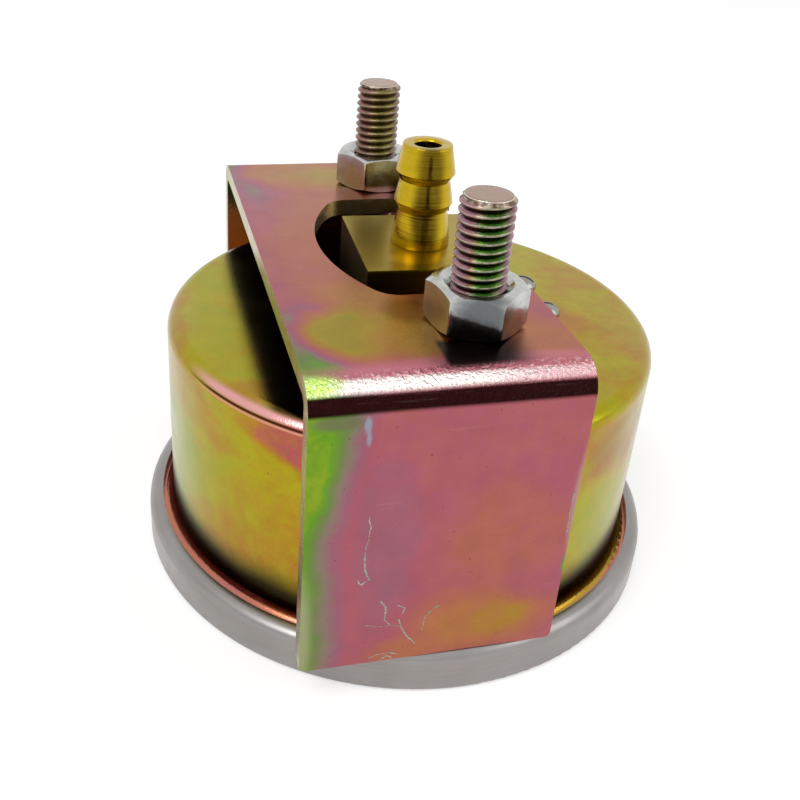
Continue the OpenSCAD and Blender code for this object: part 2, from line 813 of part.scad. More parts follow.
// Hex nut with both faces chamfered at 30 degrees and a countersunk bore
module hex_nut(turn) {
    drop_to_over = (nut_corner_r + over - nut_face_r) * tan(30);
    bore_r = stud_r + run_gap;
    difference() {
        rotate(turn) intersection() {
            cylinder(r = nut_corner_r, h = nut_h, $fn = 6);
            rotate(20) rotate_extrude() polygon([[0, 0], [nut_face_r, 0], [nut_corner_r + over, drop_to_over],
                [nut_corner_r + over, nut_h - drop_to_over], [nut_face_r, nut_h], [0, nut_h]]);
        }
        translate([0, 0, -over]) cylinder(r = bore_r, h = nut_h + 2 * over);
        translate([0, 0, nut_h - nut_sink]) cylinder(r1 = bore_r, r2 = bore_r + 2 * nut_sink, h = 2 * nut_sink);
        translate([0, 0, -nut_sink]) cylinder(r1 = bore_r + 2 * nut_sink, r2 = bore_r, h = 2 * nut_sink);
    }
}

module nut_near() {
    color("#c4c6c4")
    translate([stud_at[0][0], stud_at[0][1], plate_z]) hex_nut(nut_near_turn);
}

module nut_far() {
    color("#c4c6c4")
    translate([stud_at[1][0], stud_at[1][1], plate_z]) hex_nut(nut_far_turn);
}

bezel_ring();
case_can();
lens();
lens_gasket();
spacer_ring();
dial_plate();
dial_screws();
dial_posts();
pointer();
pointer_boss();
pinion_spindle();
hairspring_collet();
hairspring();
hairspring_stud();
sector_gear();
sector_arbor();
link_pin();
connecting_link();
tube_tip();
tip_pin();
bourdon_tube();
socket_block();
hose_barb();
movement_front_plate();
movement_back_plate();
movement_pillars();
movement_screws();
frame_posts();
frame_screws();
case_screws();
mounting_studs();
mounting_bracket();
nut_near();
nut_far();
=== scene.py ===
import math
import random

import bmesh
import bpy
from mathutils import Matrix, Vector


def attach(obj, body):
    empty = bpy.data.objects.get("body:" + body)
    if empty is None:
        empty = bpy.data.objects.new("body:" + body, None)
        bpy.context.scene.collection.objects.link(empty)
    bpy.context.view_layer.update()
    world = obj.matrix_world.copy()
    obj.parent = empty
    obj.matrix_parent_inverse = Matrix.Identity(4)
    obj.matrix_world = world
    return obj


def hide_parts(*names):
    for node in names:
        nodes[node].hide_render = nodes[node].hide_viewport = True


# Back view of a round vacuum gauge that lies on its face, all lengths in metres
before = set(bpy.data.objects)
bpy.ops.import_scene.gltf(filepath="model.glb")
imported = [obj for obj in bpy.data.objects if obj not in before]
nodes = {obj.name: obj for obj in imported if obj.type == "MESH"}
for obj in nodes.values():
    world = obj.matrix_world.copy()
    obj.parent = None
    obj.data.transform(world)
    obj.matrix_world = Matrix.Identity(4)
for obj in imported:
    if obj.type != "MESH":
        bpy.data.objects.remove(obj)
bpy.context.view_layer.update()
MM = 0.001

# Places that the pieces share with the solids, in millimetres
STUD_Y = 18.4
STUD_CREST = 2.47
STUD_ROOT = 2.11
STUD_PITCH = 0.8
STUD_TOP = 46.8
STUD_CHAMFER = 0.4
THREAD_FOOT = 27.0
HEAD_RADIUS = 3.8
HEAD_TOP = 26.1
HEAD_FOOT = 25.1
CAN_RADIUS = 26
ROOF = 26.8
DIAL_FACE = 5.6
NEAR_LEG = -28.0
FAR_LEG = 28.0
PLATE_TOP = 34.8


def mm(values):
    """Millimetres to the metres of the scene."""
    return tuple(value * MM for value in values)


def per_mm(size):
    """Texture scale for a pattern whose features are this many millimetres apart."""
    return 1.0 / (size * MM)


def around(angle, radius, z):
    """Point at this angle in degrees and this distance from the gauge's axis."""
    return (radius * math.cos(math.radians(angle)), radius * math.sin(math.radians(angle)), z)


def paint(hex_colour):
    """sRGB hex to the linear colour that sockets take."""
    parts = [int(hex_colour[i:i + 2], 16) / 255 for i in (1, 3, 5)]
    linear = [c / 12.92 if c <= 0.04045 else ((c + 0.055) / 1.055) ** 2.4 for c in parts]
    return (*linear, 1.0)


def add(tree, kind, feeds=None, **settings):
    """Add a node with its settings; feeds gives each input a socket, a value or a hex colour."""
    new = tree.nodes.new("ShaderNode" + kind)
    for name, value in settings.items():
        setattr(new, name, value)
    for socket, value in (feeds or {}).items():
        if isinstance(value, bpy.types.NodeSocket):
            tree.links.new(value, new.inputs[socket])
        else:
            new.inputs[socket].default_value = paint(value) if isinstance(value, str) else value
    return new


def start(name, metallic, roughness, **fixed):
    """New material with its shader's constant values set on the sockets."""
    made = bpy.data.materials.new(name)
    made.use_nodes = True
    shader = made.node_tree.nodes["Principled BSDF"]
    shader.inputs["Metallic"].default_value = metallic
    shader.inputs["Roughness"].default_value = roughness
    for socket, value in fixed.items():
        shader.inputs[socket.replace("_", " ")].default_value = value
    place = add(made.node_tree, "TexCoord").outputs["Object"]
    return made, made.node_tree, place


def close(made, colour, reliefs, gloss=None):
    """Give a material its colour, its reliefs (height and depth in mm) and, if any, its uneven roughness."""
    tree = made.node_tree
    shader = tree.nodes["Principled BSDF"]
    if colour:
        tree.links.new(colour, shader.inputs["Base Color"])
    if gloss:
        tree.links.new(gloss, shader.inputs["Roughness"])
    feeds = {}
    for height, depth in reliefs:
        feeds.update({"Height": height, "Distance": depth * MM})
        feeds["Normal"] = add(tree, "Bump", feeds).outputs[0]
    tree.links.new(feeds["Normal"], shader.inputs["Normal"])
    return made


def drift(tree, place, size, reach):
    """The place moved about by slow noise, so that tints have uneven edges."""
    wander = add(tree, "TexNoise", {"Vector": place, "Scale": per_mm(size), "Detail": 2.0}, normalize=False)
    return add(tree, "VectorMath", {0: wander.outputs["Color"], 1: mm((reach,) * 3), 2: place},
               operation="MULTIPLY_ADD").outputs[0]


def mottle(tree, place, size, cut=(0.3, 0.7), span=(0.0, 1.0), detail=3.0, stretch=None):
    """Clouds of this size in mm, cut at two levels and spread over a span; stretch draws them out."""
    if stretch:
        place = add(tree, "Mapping", {"Vector": place, "Scale": stretch}).outputs[0]
    cloud = add(tree, "TexNoise", {"Vector": place, "Scale": per_mm(size), "Detail": detail}).outputs["Fac"]
    return add(tree, "MapRange", {"Value": cloud, "From Min": cut[0], "From Max": cut[1],
                                  "To Min": span[0], "To Max": span[1]}).outputs[0]


def meet(tree, *shares):
    """Share where all of these meet, which is their product."""
    whole = shares[0]
    for share in shares[1:]:
        whole = add(tree, "Math", {0: whole, 1: share}, operation="MULTIPLY").outputs[0]
    return whole


def lay(tree, under, over, *shares):
    """Lay one colour over another where all the shares meet; 6, 7 and output 2 are Mix's colours."""
    return add(tree, "Mix", {0: meet(tree, *shares), 6: under, 7: over}, data_type="RGBA").outputs[2]


# Share of an ellipsoid's radius over which a soft spot fades in
SOFT_EDGE = 0.6


def soft_spot(tree, place, centre, reach, strength):
    """Share from 0 to strength inside an ellipsoid about a centre, with a soft edge."""
    spot = add(tree, "Mapping", {"Vector": place, "Location": mm(centre), "Scale": mm(reach)},
               vector_type="TEXTURE")
    fall = add(tree, "TexGradient", {"Vector": spot.outputs[0]}, gradient_type="SPHERICAL").outputs["Fac"]
    return add(tree, "MapRange", {"Value": fall, "From Max": SOFT_EDGE, "To Max": strength},
               interpolation_type="SMOOTHSTEP").outputs[0]


def tint_over(tree, place, colour, tints):
    """Lay soft-edged tints one over another: each is a hex colour, centre mm, reach mm and strength."""
    for tint, centre, reach, strength in tints:
        colour = lay(tree, colour, tint, soft_spot(tree, place, centre, reach, strength))
    return colour


def rise(tree, value, foot, top, most=1.0):
    """Share that goes smoothly from 0 at the foot to most at the top, both in millimetres."""
    return add(tree, "MapRange", {"Value": value, "From Min": foot * MM, "From Max": top * MM,
                                  "To Max": most}, interpolation_type="SMOOTHSTEP").outputs[0]


def band(tree, value, centre, half, most=1.0):
    """Share that peaks at a centre and fades out over half a width on both sides, in millimetres."""
    before = rise(tree, value, centre - half, centre, most)
    return meet(tree, before, rise(tree, value, centre + half, centre))


def from_axis(tree, place):
    """Distance from the upright axis of the piece."""
    flat = add(tree, "VectorMath", {0: place, 1: (1.0, 1.0, 0.0)}, operation="MULTIPLY").outputs[0]
    return add(tree, "VectorMath", {0: flat}, operation="LENGTH").outputs["Value"]


def colour_steps(tree, share, steps):
    """Colour that runs through these steps as the share goes from 0 to 1."""
    ramp = add(tree, "ValToRGB", {"Fac": share})
    stops = ramp.color_ramp.elements
    stops[0].position = steps[0][0]
    stops[0].color = paint(steps[0][1])
    stops[1].position = steps[-1][0]
    stops[1].color = paint(steps[-1][1])
    for position, tint in steps[1:-1]:
        stops.new(position).color = paint(tint)
    return ramp.outputs["Color"]


# Interference colours of the passivated film as it gets thicker
FILM = [(0.0, "#8f8a2c"), (0.08, "#a48c24"), (0.16, "#aa7e34"), (0.26, "#b0704a"), (0.36, "#ae6658"),
        (0.46, "#aa5d6a"), (0.55, "#9c6272"), (0.63, "#8c766c"), (0.70, "#70844a"), (0.77, "#66982a"),
        (0.84, "#92a42a"), (0.90, "#aca01c"), (0.955, "#b07c2a"), (1.0, "#b25c56")]
# Clouds in the film: size in millimetres and share of the unrest
CLOUDS = [(6.0, 1.0), (1.8, 0.7), (0.5, 0.45)]


def film_depth(tree, place, ground, marks, unrest):
    """Thickness of the film from 0 to 1: soft marks, each a depth, centre mm, reach mm and strength,
    and three sizes of cloud whose depth grows with the unrest."""
    depth = ground
    for value, centre, reach, strength in marks:
        spot = soft_spot(tree, place, centre, reach, strength)
        depth = add(tree, "Mix", {0: spot, 2: depth, 3: value}).outputs[0]
    for size, amount in CLOUDS:
        wave = add(tree, "TexNoise", {"Vector": place, "Scale": per_mm(size), "Detail": 3.0}, normalize=False)
        depth = add(tree, "Math", {0: wave.outputs["Fac"], 1: amount * unrest, 2: depth},
                    operation="MULTIPLY_ADD").outputs[0]
    return depth


def yellow_zinc(name, ground, marks, tints, trim, roughness, lit_levels, unrest):
    """Lit levels are two heights in mm and the painted brightness of what lies below the first and above the
    second;
    trim lays the piece's own details over the film and gives the reliefs that go with them."""
    # Yellow passivated zinc on drawn sheet: a satin metal under a thin film that runs from olive and gold
    # through rose to green, cloudy where one colour turns to the next, with dark pin specks.
    # The zinc's own grain is finer than 0.2 mm and is drawn at that size so that it shows.
    made, tree, place = start(name, metallic=1.0, roughness=roughness)
    loose = drift(tree, place, 9.0, 0.9)
    colour = colour_steps(tree, film_depth(tree, loose, ground(tree, loose), marks, unrest), FILM)
    # Painted light and shade: the walls and the parts that face up each have their own brightness
    low, high, wall, roof = lit_levels
    height = add(tree, "SeparateXYZ", {"Vector": place}).outputs["Z"]
    level = add(tree, "MapRange", {"Value": height, "From Min": low * MM, "From Max": high * MM,
                                   "To Min": wall, "To Max": roof}).outputs[0]
    cloud = mottle(tree, place, 2.6, span=(0.95, 1.05))
    colour = add(tree, "HueSaturation", {"Color": colour, "Value": meet(tree, level, cloud)}).outputs[0]
    colour = tint_over(tree, place, colour, tints)
    specks = mottle(tree, place, 0.34, (0.71, 0.76), (0.0, 0.6))
    colour = lay(tree, colour, "#3a2a18", specks)
    drawn = mottle(tree, place, 0.28, (0.64, 0.74), (0.0, 0.05), stretch=(0.05, 1.0, 1.0))
    colour = lay(tree, colour, "#d8c8a8", drawn)
    colour, reliefs = trim(tree, place, colour)
    grain = mottle(tree, place, 0.2, (0.2, 0.8))
    gloss = mottle(tree, place, 4.0, span=(roughness - 0.04, roughness + 0.05))
    return close(made, colour, [(grain, 0.010)] + reliefs, gloss)


# Drawn can: yellow-green film, orange to rose near the rim and beside the leg, painted shade near black at
# the foot.
# Each mark is a depth of film, centre, reach and strength
CAN_MARKS = [
    # Left of the near leg
    (0.84, around(-178, CAN_RADIUS, 13), (7, 12, 20), 0.9),
    (0.86, around(-160, CAN_RADIUS, 15), (6, 6, 12), 0.9),
    (0.925, around(-165, CAN_RADIUS, 23.5), (9, 10, 4), 0.9),
    (0.93, around(-152, CAN_RADIUS, 20.5), (5, 5, 3.5), 0.8),
    (0.89, around(-146, CAN_RADIUS, 15), (8, 8, 6), 0.9),
    (0.95, around(-150, CAN_RADIUS, 10.0), (9, 9, 3.5), 0.8),
    (0.932, around(-134, CAN_RADIUS, 14), (9, 9, 8), 0.9),
    (1.0, around(-128, CAN_RADIUS, 24.6), (10, 8, 2.8), 0.95),
    (1.02, around(-122, CAN_RADIUS, 23.0), (4.5, 5, 3.4), 0.9),
    # Right of the near leg
    (0.97, around(-64, CAN_RADIUS, 24.0), (8, 8, 2.8), 0.7),
    (0.965, around(-52, CAN_RADIUS, 19.5), (8, 10, 3.6), 0.8),
    (0.885, around(-58, CAN_RADIUS, 13.5), (8, 8, 7), 0.9),
    # Far side
    (0.98, around(60, CAN_RADIUS, 19), (9, 9, 8), 0.8),
    (0.80, around(100, CAN_RADIUS, 15), (11, 9, 9), 0.8),
    (0.93, around(140, CAN_RADIUS, 12), (10, 10, 8), 0.7),
    # Roof
    (0.89, (-21, 1, ROOF), (5, 18, 2.0), 0.9),
    (0.94, (-25.6, 2, ROOF), (2.2, 14, 2.5), 0.8),
    (0.955, (-19.5, -14.8, ROOF), (6, 3.0, 2.5), 0.8),
    (0.93, (20, -4, ROOF), (9, 20, 2.0), 0.9),
    (0.965, (14.5, -5, ROOF), (6, 6, 2.0), 0.85),
    (0.98, (4, 21, ROOF), (9, 5, 2.0), 0.6),
]
CAN_TINTS_AND_SHEEN = [
    # The two pale tints are painted sheen down the left and right sides of the wall; the third is a brown
    # patch
    ("#aca878", around(-188, CAN_RADIUS, 13), (6.5, 17, 20), 0.42),
    ("#a8a070", around(-26, CAN_RADIUS, 13), (8, 17, 20), 0.3),
    ("#8a6c2c", around(-50, CAN_RADIUS, 22), (9, 10, 4), 0.5),
]
# Painted reflection round the shoulder, a light, a dark and a light line: colour, height and half width
SHOULDER_SHEEN_LINES = [("#dca09c", 26.36, 0.46), ("#4c2016", 25.92, 0.20), ("#c88c74", 25.66, 0.18)]


def can_ground(tree, place):
    """The can's film is yellow-green wherever no mark lies."""
    return 0.905


def can_trim(tree, place, colour):
    split = add(tree, "SeparateXYZ", {"Vector": place}).outputs
    radius = from_axis(tree, place)
    # Painted reflection lines on the shoulder, on the side that faces the front
    front = soft_spot(tree, place, around(-136, CAN_RADIUS, 26), (15, 12, 5), 1.0)
    for tint, level, half in SHOULDER_SHEEN_LINES:
        colour = lay(tree, colour, tint, front, band(tree, split["Z"], level, half, 1.3))
    # Painted shade, near black, at the foot of the wall, and painted shade of the bracket's edge on the roof
    uneven = add(tree, "SeparateXYZ", {"Vector": drift(tree, place, 6.0, 0.5)}).outputs["Z"]
    colour = lay(tree, colour, "#1e1108", rise(tree, uneven, 10.3, 6.2, 0.95))
    colour = lay(tree, colour, "#34200f",
                 rise(tree, split["X"], -18.9, -17.3, 0.92), rise(tree, split["X"], 9.0, 7.0),
                 rise(tree, radius, 25.5, 24.9), rise(tree, split["Z"], 26.2, 26.6))
    # The flange under the bezel's lip is salmon to orange, with a gold band inside it on the right
    blotch = mottle(tree, place, 5.0, (0.35, 0.65))
    flange = lay(tree, "#b46c68", "#b87454", blotch)
    right = soft_spot(tree, place, around(-45, 26.6, 4.8), (22, 22, 4), 0.9)
    flange = lay(tree, flange, "#b0902a", right, rise(tree, radius, 26.95, 26.5))
    return lay(tree, colour, flange, rise(tree, split["Z"], 5.0, 4.6)), []


# Bent strip: rose and copper legs with a green edge, tan to olive plate
STRIP_MARKS = [
    # Plate
    (0.29, (-6, -2, PLATE_TOP), (20, 30, 1.4), 0.85),
    (0.20, (-10, 22, PLATE_TOP), (9, 8, 1.4), 0.9),
    (0.18, (-9, -13, PLATE_TOP), (5, 6, 1.4), 0.8),
    (0.05, (-11.2, -18.8, PLATE_TOP), (6.0, 7, 1.4), 1.0),
    (0.12, (-6.8, -18, PLATE_TOP), (4, 6, 1.4), 0.9),
    (0.10, (-3, 20, PLATE_TOP), (8, 6, 1.4), 0.85),
    (0.42, (-16.8, 0, PLATE_TOP), (2.4, 28, 1.4), 0.8),
    (0.50, (-9, -26.4, PLATE_TOP), (9, 2.2, 1.4), 1.0),
    (0.28, (5.4, -22.5, PLATE_TOP), (5.5, 6, 1.4), 0.9),
    (0.15, (-5.6, -20.6, PLATE_TOP), (6.5, 4.6, 1.4), 1.0),
    # Near leg
    (0.52, (-9.5, NEAR_LEG, 18), (4, 2, 14), 0.9),
    (0.36, (2.2, NEAR_LEG, 18), (8, 2, 8), 0.85),
    (0.43, (4, NEAR_LEG, 29), (10, 2, 5), 0.8),
    (0.23, (0.5, NEAR_LEG, 8.4), (9.5, 2, 5.5), 0.9),
    (0.15, (2.6, NEAR_LEG, 8.6), (4.2, 2, 2.8), 0.7),
    (0.30, (-7.0, NEAR_LEG, 5.4), (5, 2, 2.2), 0.8),
    (0.47, (5.5, NEAR_LEG, 12.5), (4, 2, 4.0), 0.6),
    (0.88, (8.2, NEAR_LEG, 14.2), (0.9, 2, 1.6), 0.9),
    # Far leg
    (0.38, (-15.5, FAR_LEG, 20), (6, 4, 20), 1.0),
    (0.52, (-8, FAR_LEG, 20), (8, 2, 14), 0.8),
    (0.74, (7.5, FAR_LEG, 22), (4, 2, 18), 0.9),
    (0.14, (-2, FAR_LEG, 9), (9, 2, 6), 0.8),
]
STRIP_TINTS_AND_PAINTED_LIGHT = [
    # Tarnish on the plate; on the near leg a painted highlight down the left edge, a pale right edge and
    # rubbed spots
    ("#7a4f16", (-5.2, -15.6, PLATE_TOP), (3.2, 3.4, 1.2), 0.8),
    ("#c6848c", (-8.5, -26.2, PLATE_TOP), (8, 1.6, 1.2), 0.7),
    ("#b08c8c", (8.3, NEAR_LEG, 21), (1.0, 2, 9), 0.8),
    ("#a8a084", (-17.2, NEAR_LEG, 8.5), (1.9, 2, 10), 0.65),
    ("#6c6a50", (-14.2, NEAR_LEG, 31.6), (3.0, 1, 1.0), 0.8),
    ("#8c98a4", (-11.8, NEAR_LEG, 31.2), (0.42, 1, 1.1), 0.8),
    ("#8c98a4", (-11.65, NEAR_LEG, 29.9), (0.30, 1, 1.0), 0.7),
    # Bends: painted dark reflection low down, painted highlight over the crown, yellow-green at the left end
    ("#16100a", (-16.7, NEAR_LEG + 0.05, 33.1), (14, 1.1, 1.15), 1.4),
    ("#280e0e", (2, NEAR_LEG + 0.05, 33.1), (40, 1.1, 1.15), 1.3),
    ("#351414", (-4.4, FAR_LEG - 0.05, 33.1), (60, 1.1, 1.1), 0.6),
    ("#c0707e", (-2, NEAR_LEG + 2.4, PLATE_TOP), (20, 2.0, 1.0), 0.75),
    ("#fff4ee", (-9, NEAR_LEG + 0.6, 34.45), (26, 1.35, 0.85), 1.2),
    ("#e0b4b8", (6, NEAR_LEG + 0.6, 34.45), (10, 1.3, 0.85), 1.0),
    ("#c8ee78", (-16.2, NEAR_LEG + 0.8, 34.5), (3.6, 2.0, 0.95), 1.0),
]


def strip_ground(tree, place):
    """The film thins from green at the leg's left edge to rose, over a wider strip near the bend."""
    split = add(tree, "SeparateXYZ", {"Vector": place}).outputs
    wider = rise(tree, split["Z"], 19, 33, 2.6 * MM)
    across = add(tree, "Math", {0: split["X"], 1: wider}, operation="SUBTRACT").outputs[0]
    return add(tree, "MapRange", {"Value": across, "From Min": -16.9 * MM, "From Max": -12.8 * MM,
                                  "To Min": 0.80, "To Max": 0.44}).outputs[0]


def strip_trim(tree, place, colour):
    split = add(tree, "SeparateXYZ", {"Vector": place}).outputs
    # Painted shade on the plate in front of the near nut
    colour = lay(tree, colour, "#1c120e",
                 rise(tree, split["X"], -4.9, -4.3), rise(tree, split["X"], 4.6, 0.6),
                 rise(tree, split["Y"], -26.3, -25.3), rise(tree, split["Y"], -21.0, -22.0),
                 rise(tree, split["Z"], 34.2, 34.6, 0.94))
    # Sheared edges of the sheet are paler and stay olive
    facing = add(tree, "SeparateXYZ", {"Vector": add(tree, "TexCoord").outputs["Normal"]}).outputs
    out = add(tree, "Math", {0: split["Y"]}, operation="ABSOLUTE").outputs[0]
    side = meet(tree, facing["X"], facing["X"])
    end = meet(tree, facing["Y"], facing["Y"], rise(tree, out, 25.0, 24.0))
    cut = add(tree, "Math", {0: side, 1: end}, operation="MAXIMUM").outputs[0]
    cut = add(tree, "MapRange", {"Value": cut, "From Min": 0.2, "From Max": 0.5}).outputs[0]
    pale = lay(tree, "#a8a06c", "#c0b498", mottle(tree, place, 1.4, (0.35, 0.65)))
    colour = lay(tree, colour, pale, cut, 0.85)
    # Pressing roughened the outside of the bends: a pebbled grain of about 0.3 mm, with painted bright glints
    # on the crown
    corner = meet(tree, rise(tree, out, 25.2, 26.8), rise(tree, split["Z"], 31.8, 33.4))
    pebble = mottle(tree, place, 0.32, (0.35, 0.65), detail=2.0)
    bright = mottle(tree, place, 0.32, (0.56, 0.66), detail=2.0)
    colour = lay(tree, colour, "#ffffff", corner, rise(tree, split["Z"], 33.9, 34.4), bright, 0.55)
    return colour, [(meet(tree, corner, pebble), 0.11)]


def zinc_thread(name, ground, tints, crest_highlight, root_shade):
    # Rolled thread: film colours on the flanks, a broken painted highlight along the top of each turn,
    # painted shade in the roots, bare sawn end
    made, tree, place = start(name, metallic=1.0, roughness=0.26)
    radius = from_axis(tree, place)
    colour = tint_over(tree, drift(tree, place, 1.5, 0.3), ground, tints)
    patchy = mottle(tree, place, 0.9, (0.35, 0.65), (0.75, 1.1))
    colour = add(tree, "HueSaturation", {"Color": colour, "Value": patchy}).outputs[0]
    colour = lay(tree, colour, root_shade, rise(tree, radius, 2.30, 2.13, 0.9))
    glint_breaks = mottle(tree, place, 0.8, (0.35, 0.6), (0.25, 0.85))
    colour = lay(tree, colour, crest_highlight, rise(tree, radius, 2.42, 2.455), glint_breaks)
    height = add(tree, "SeparateXYZ", {"Vector": place}).outputs["Z"]
    rim = lay(tree, "#a89a8c", "#66523c", mottle(tree, place, 0.5, (0.4, 0.6)))
    colour = lay(tree, colour, rim, rise(tree, height, STUD_TOP - 0.45, STUD_TOP - 0.3))
    colour = lay(tree, colour, "#d6cec4", band(tree, height, STUD_TOP - 0.03, 0.09))
    sawn = lay(tree, "#a8827c", "#9c8a6c", mottle(tree, place, 1.2, (0.35, 0.65)))
    colour = lay(tree, colour, sawn, rise(tree, height, STUD_TOP - 0.02, STUD_TOP - 0.004))
    return close(made, colour, [(mottle(tree, place, 0.25, (0.2, 0.8)), 0.015)])


def bright_zinc():
    # Bright zinc on pressed nuts and screws: clean silver, with painted reflections that leave some flats
    # dark and others tan, rose or gold, and a few nicks
    tints = [
        ("#b4a898", (-4.0, -19.1, 36.6), (1.2, 3.0, 2.4), 0.8),
        ("#666a6c", (-0.9, -22.3, 37.2), (4.6, 1.6, 3.0), 1.0),
        ("#8c7672", (2.7, -21.6, 35.5), (1.9, 2.2, 1.5), 0.8),
        ("#b0a27c", (-3.4, 15.2, 36.4), (2.4, 3.0, 2.2), 0.8),
        ("#8a7c34", (2.2, 14.8, 37.0), (2.8, 1.4, 2.2), 0.85),
        ("#2c2410", (3.0, 14.9, 35.4), (2.8, 1.6, 1.3), 0.9),
    ]
    made, tree, place = start("bright_zinc_pressed_steel", metallic=1.0, roughness=0.17)
    colour = lay(tree, "#acaeac", "#c4c4c0", mottle(tree, place, 1.3, (0.35, 0.65)))
    colour = tint_over(tree, drift(tree, place, 1.2, 0.25), colour, tints)
    # Painted dark reflection over the lower half of the near nut's front flat, with a slanting edge
    split = add(tree, "SeparateXYZ", {"Vector": drift(tree, place, 1.0, 0.12)}).outputs
    lean = add(tree, "Math", {0: split["X"], 1: 0.26, 2: split["Z"]}, operation="MULTIPLY_ADD").outputs[0]
    dark_reflection = lay(tree, "#101211", "#33352f", rise(tree, split["Z"], 35.2, 36.6))
    colour = lay(tree, colour, dark_reflection, rise(tree, lean, 36.55, 36.15, 0.96),
                 rise(tree, split["Y"], -21.2, -21.5), rise(tree, split["X"], 1.2, 0.6))
    # The case screws sit low on the can and are dull grey
    colour = lay(tree, colour, "#8e8a80", rise(tree, split["Z"], 30.5, 29.5, 0.8))
    nicks = mottle(tree, place, 0.3, (0.69, 0.75), (0.0, 0.7))
    colour = lay(tree, colour, "#3c3a36", nicks)
    gloss = mottle(tree, place, 1.2, span=(0.14, 0.24))
    return close(made, colour, [(mottle(tree, place, 0.3, (0.2, 0.8)), 0.004)], gloss)


def satin_stainless():
    # Rolled stainless bezel: even satin grey with fine lines round the ring, drawn at 0.14 mm so that
    # they show, because the real ones are finer
    made, tree, place = start("satin_rolled_stainless", metallic=1.0, roughness=0.32)
    lines = mottle(tree, place, 0.14, stretch=(0.02, 0.02, 1.0))
    colour = lay(tree, "#8a8683", "#969290", mottle(tree, place, 7.0))
    colour = lay(tree, colour, "#b8b4b0", lines, 0.18)
    return close(made, colour, [(lines, 0.002)], mottle(tree, place, 2.0, span=(0.27, 0.38)))


def turned_brass(name, light, dark, pitch, tints=()):
    # Turned brass: bright yellow with fine tool rings, brown where it has tarnished
    made, tree, place = start(name, metallic=1.0, roughness=0.18)
    rings = mottle(tree, place, pitch, stretch=(0.02, 0.02, 1.0))
    colour = lay(tree, light, dark, mottle(tree, place, 2.0, (0.4, 0.65), (0.0, 0.3)))
    colour = tint_over(tree, place, colour, tints)
    colour = lay(tree, colour, "#e0c04c", rings, 0.14)
    return close(made, colour, [(rings, 0.006)], mottle(tree, place, 0.9, span=(0.12, 0.24)))


def sawn_brass():
    # Square bar, sawn and milled: satin olive-yellow on top, flanks painted dark brown as shade and dark
    # reflection, darker towards the bottom, with upright strokes
    made, tree, place = start("milled_square_brass", metallic=1.0, roughness=0.27)
    height = add(tree, "SeparateXYZ", {"Vector": place}).outputs["Z"]
    flank_shade = [(0.0, "#241505"), (0.5, "#3e2a0a"), (1.0, "#5c4612")]
    flank = colour_steps(tree, rise(tree, height, 26.8, 34.4), flank_shade)
    strokes = mottle(tree, place, 0.35, stretch=(1.0, 1.0, 0.06))
    flank = lay(tree, flank, "#7a6224", strokes, 0.35)
    # Painted reflection of the barb: a warm patch on the top where the barb is screwed in
    top = lay(tree, "#9c8824", "#a89028", mottle(tree, place, 3.0))
    top = tint_over(tree, place, top, [("#dcb828", (-1.2, -4.4, 34.8), (3.4, 2.2, 1.5), 0.9)])
    colour = lay(tree, flank, top, rise(tree, height, 34.45, 34.75))
    return close(made, colour, [(mottle(tree, place, 0.3, (0.2, 0.8)), 0.004)])


def plain_metal(name, light, dark, roughness, grain, stretch=None):
    # Metal sheet or rod inside the case: clean, with the marks of rolling or grinding
    made, tree, place = start(name, metallic=1.0, roughness=roughness)
    strokes = mottle(tree, place, grain, stretch=stretch)
    colour = lay(tree, light, dark, mottle(tree, place, 2.2))
    colour = lay(tree, colour, dark, strokes, 0.25)
    return close(made, colour, [(strokes, 0.006)])


def clear_glass():
    # Flat window glass, faintly green in its thickness
    made, tree, place = start("flat_window_glass", metallic=0.0, roughness=0.02,
                              Transmission_Weight=1.0, IOR=1.5, Base_Color=paint("#fafdfc"))
    return close(made, None, [(mottle(tree, place, 7.0, (0.2, 0.8)), 0.003)])


def coat(name, light, dark, roughness, size, depth):
    # Rubber, enamel or print: a matt surface with a slight mottle
    made, tree, place = start(name, metallic=0.0, roughness=roughness)
    colour = lay(tree, light, dark, mottle(tree, place, size))
    return close(made, colour, [(mottle(tree, place, size * 0.4, (0.2, 0.8)), depth)])


def bare_scratch():
    # Scratch through the film to the bright zinc
    made, tree, place = start("bare_zinc_scratch", metallic=1.0, roughness=0.35)
    colour = lay(tree, "#a8aea0", "#8c8c80", mottle(tree, place, 0.4))
    return close(made, colour, [(mottle(tree, place, 0.1, (0.2, 0.8)), 0.01)])


